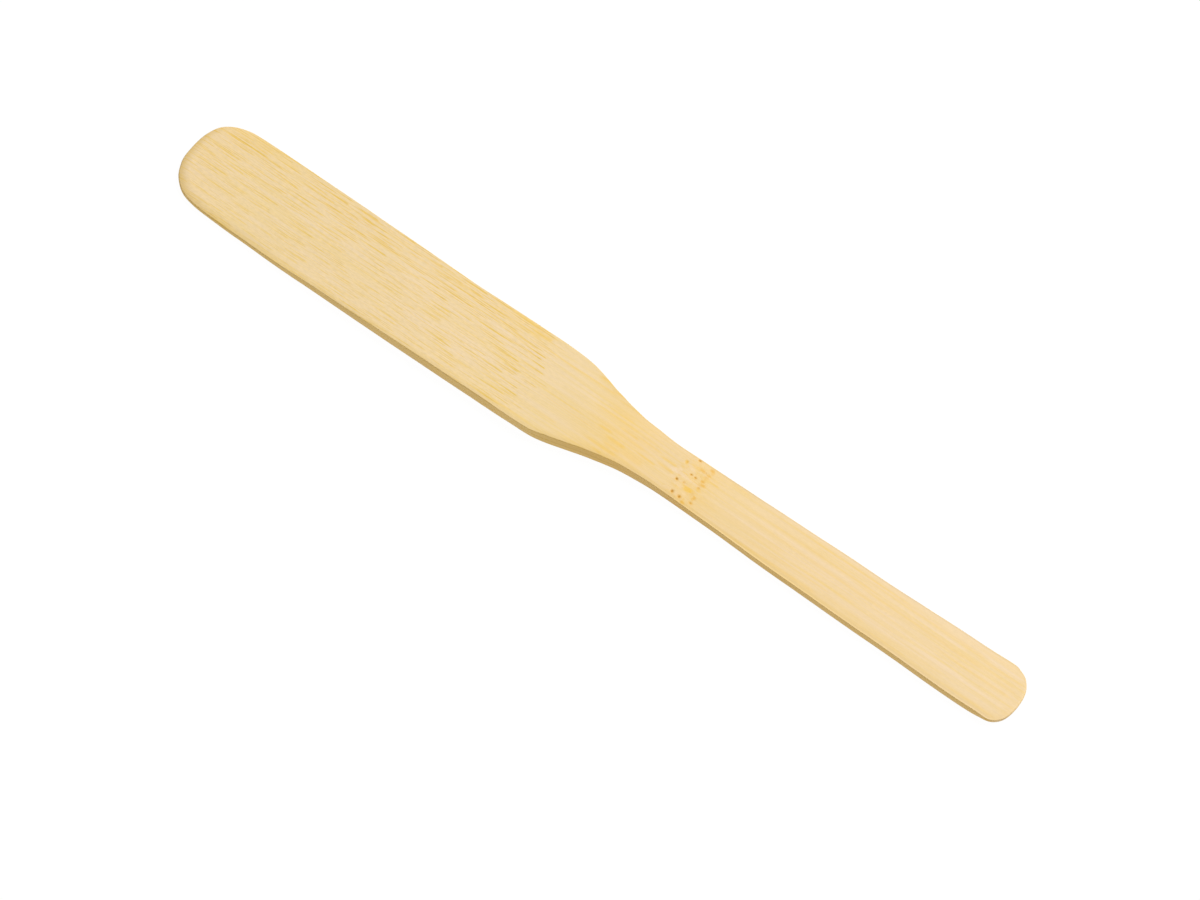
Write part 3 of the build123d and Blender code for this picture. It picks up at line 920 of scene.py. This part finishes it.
def with_edges(colour):
    # the sides are cut nearer the dense skin: deeper ochre, fine edge lines. Part of this tint is
    # painted shade: it fades where a side turns towards the key light
    line = grain(along, z, length=24.0, width=0.22, shift=40.0, rough=0.55)
    ochre = mix(step(0.35, 0.70, line), (0.94, 0.81, 0.39), (0.82, 0.69, 0.29))
    colour = shade(side_shade_tint, colour, ochre)
    # end grain: bundle ends show as dots
    distance = cells(vector(mul(y, 1 / 0.75), mul(z, 1 / 0.6)))["Distance"]
    dots = mul(step(0.36, 0.20, distance), end_grain)
    colour = shade(mul(end_grain, step(0.0, -0.1, normal_x)), colour, (0.93, 0.92, 0.90))
    # painted shade: the rim and face of the handle end, which turn towards the key light, are
    # darkened, the upper rim most
    colour = shade(end_rim, colour, mix(step(0.0, 0.6, normal_z), (0.94, 0.92, 0.895),
                                        (0.90, 0.895, 0.90)))
    colour = mix(mul(dots, 0.45), colour, BUNDLE_END)
    # painted shade on the rounded rims: a warmer, deeper tint where they roll away from the light
    return shade(mul(painted("rim_shade_tint"), upper), colour, (0.992, 0.952, 0.765))


# ------------------------------------------------------------ bamboo: surface


def roughness():
    """Dashes and rims are smoother; pits and the end rim are rougher."""
    rough = mul_add(streak_fine, 0.16, 0.44)
    rough = sub(rough, mul(dash, 0.10))
    rough = sub(rough, mul(painted("rim"), 0.04))
    rough = add(rough, mul(painted("pit"), 0.25))
    return add(rough, mul(end_rim, 0.40))


def fibre_bump():
    height = add(mul(streak_fine, 0.55), mul(streak_mid, 0.35))
    height = sub(height, mul(dash, 0.35))
    grit = grain(along, across, length=0.8, width=0.10, shift=z, rough=0.6)
    height = add(height, mul(grit, 0.22))
    made = node("ShaderNodeBump")
    made.inputs["Strength"].default_value = 0.55
    made.inputs["Distance"].default_value = 0.000028
    put(made.inputs["Height"], height)
    return made.outputs[0]


surface = node("ShaderNodeBsdfPrincipled")
for key, value in (
        ("Base Color", with_edges(with_tone(with_marks(fibre_colour())))),
        ("Roughness", roughness()),
        ("Normal", fibre_bump()),
        ("IOR", 1.45),
        ("Specular IOR Level", mul_add(end_rim, -0.30, 0.35))):
    put(surface.inputs[key], value)
put(node("ShaderNodeOutputMaterial").inputs["Surface"], surface.outputs[0])

folder.data.materials.append(bamboo)
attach(folder, "root")
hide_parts("folder_body")

# ---------------------------------------------------------------- the stage
FLOOR_HALF = 3.0
FLOOR_Z = -0.00002                         # just clear of the underside
floor_mesh = bpy.data.meshes.new("floor")
floor_mesh.from_pydata(
    [(i * FLOOR_HALF, j * FLOOR_HALF, 0) for i, j in ((-1, -1), (1, -1), (1, 1), (-1, 1))],
    [], [(0, 1, 2, 3)])
floor = bpy.data.objects.new("floor", floor_mesh)
scene = bpy.context.scene
scene.collection.objects.link(floor)
floor.location = (0, 0, FLOOR_Z)
floor_material = bpy.data.materials.new("pale_floor")
floor_material.use_nodes = True
floor_inputs = floor_material.node_tree.nodes["Principled BSDF"].inputs
for key, value in (("Base Color", (0.05, 0.05, 0.05, 1)), ("Roughness", 0.9),
                   ("Specular IOR Level", 0.1), ("Emission Color", (1, 1, 1, 1)),
                   ("Emission Strength", 0.965)):
    floor_inputs[key].default_value = value
floor_mesh.materials.append(floor_material)

# the world is pale to the camera and softer as a light
WORLD_LIGHT = 0.44
WORLD_SEEN_EXTRA = 0.55
world = bpy.data.worlds.new("studio")
world.use_nodes = True
world_nodes, world_links = world.node_tree.nodes, world.node_tree.links
background = world_nodes["Background"]
background.inputs["Color"].default_value = (1, 1, 1, 1)
light_path = world_nodes.new("ShaderNodeLightPath")
seen = world_nodes.new("ShaderNodeMath")
seen.operation = "MULTIPLY_ADD"
seen.inputs[1].default_value = WORLD_SEEN_EXTRA
seen.inputs[2].default_value = WORLD_LIGHT
world_links.new(light_path.outputs["Is Camera Ray"], seen.inputs[0])
world_links.new(seen.outputs[0], background.inputs["Strength"])
scene.world = world

# key light, aimed at the origin: turn from +X, height angle, distance
KEY_TURN, KEY_HEIGHT, KEY_DISTANCE = math.radians(56.0), math.radians(50.0), 2.6
key_light = bpy.data.lights.new("key", "AREA")
key_light.shape = "SQUARE"
key_light.size = 1.6
key_light.energy = 66.0
key_object = bpy.data.objects.new("key", key_light)
scene.collection.objects.link(key_object)
toward_key = Vector((math.cos(KEY_TURN) * math.cos(KEY_HEIGHT),
                     math.sin(KEY_TURN) * math.cos(KEY_HEIGHT), math.sin(KEY_HEIGHT)))
key_object.location = toward_key * KEY_DISTANCE
key_object.rotation_euler = toward_key.to_track_quat("Z", "Y").to_euler()

# camera: turn of its right-hand axis from +X, height angle, distance to the aim
VIEW_TURN, VIEW_HEIGHT, VIEW_DISTANCE = math.radians(37.109), math.radians(63.0), 1.2
VIEW_AIM = Vector((0.0042130, -0.0039821, 0.0))
back = Vector((math.sin(VIEW_TURN) * math.cos(VIEW_HEIGHT),
               -math.cos(VIEW_TURN) * math.cos(VIEW_HEIGHT), math.sin(VIEW_HEIGHT)))
right = Vector((math.cos(VIEW_TURN), math.sin(VIEW_TURN), 0.0))
camera = bpy.data.cameras.new("camera")
camera.sensor_width = 36.0
camera.lens = 187.14
camera.clip_start = 0.01
camera_object = bpy.data.objects.new("camera", camera)
scene.collection.objects.link(camera_object)
rotation = Matrix((right, back.cross(right), back)).transposed().to_4x4()
camera_object.matrix_world = Matrix.Translation(VIEW_AIM + back * VIEW_DISTANCE) @ rotation
scene.camera = camera_object
scene.view_settings.view_transform = "Standard"
scene.view_settings.look = "None"
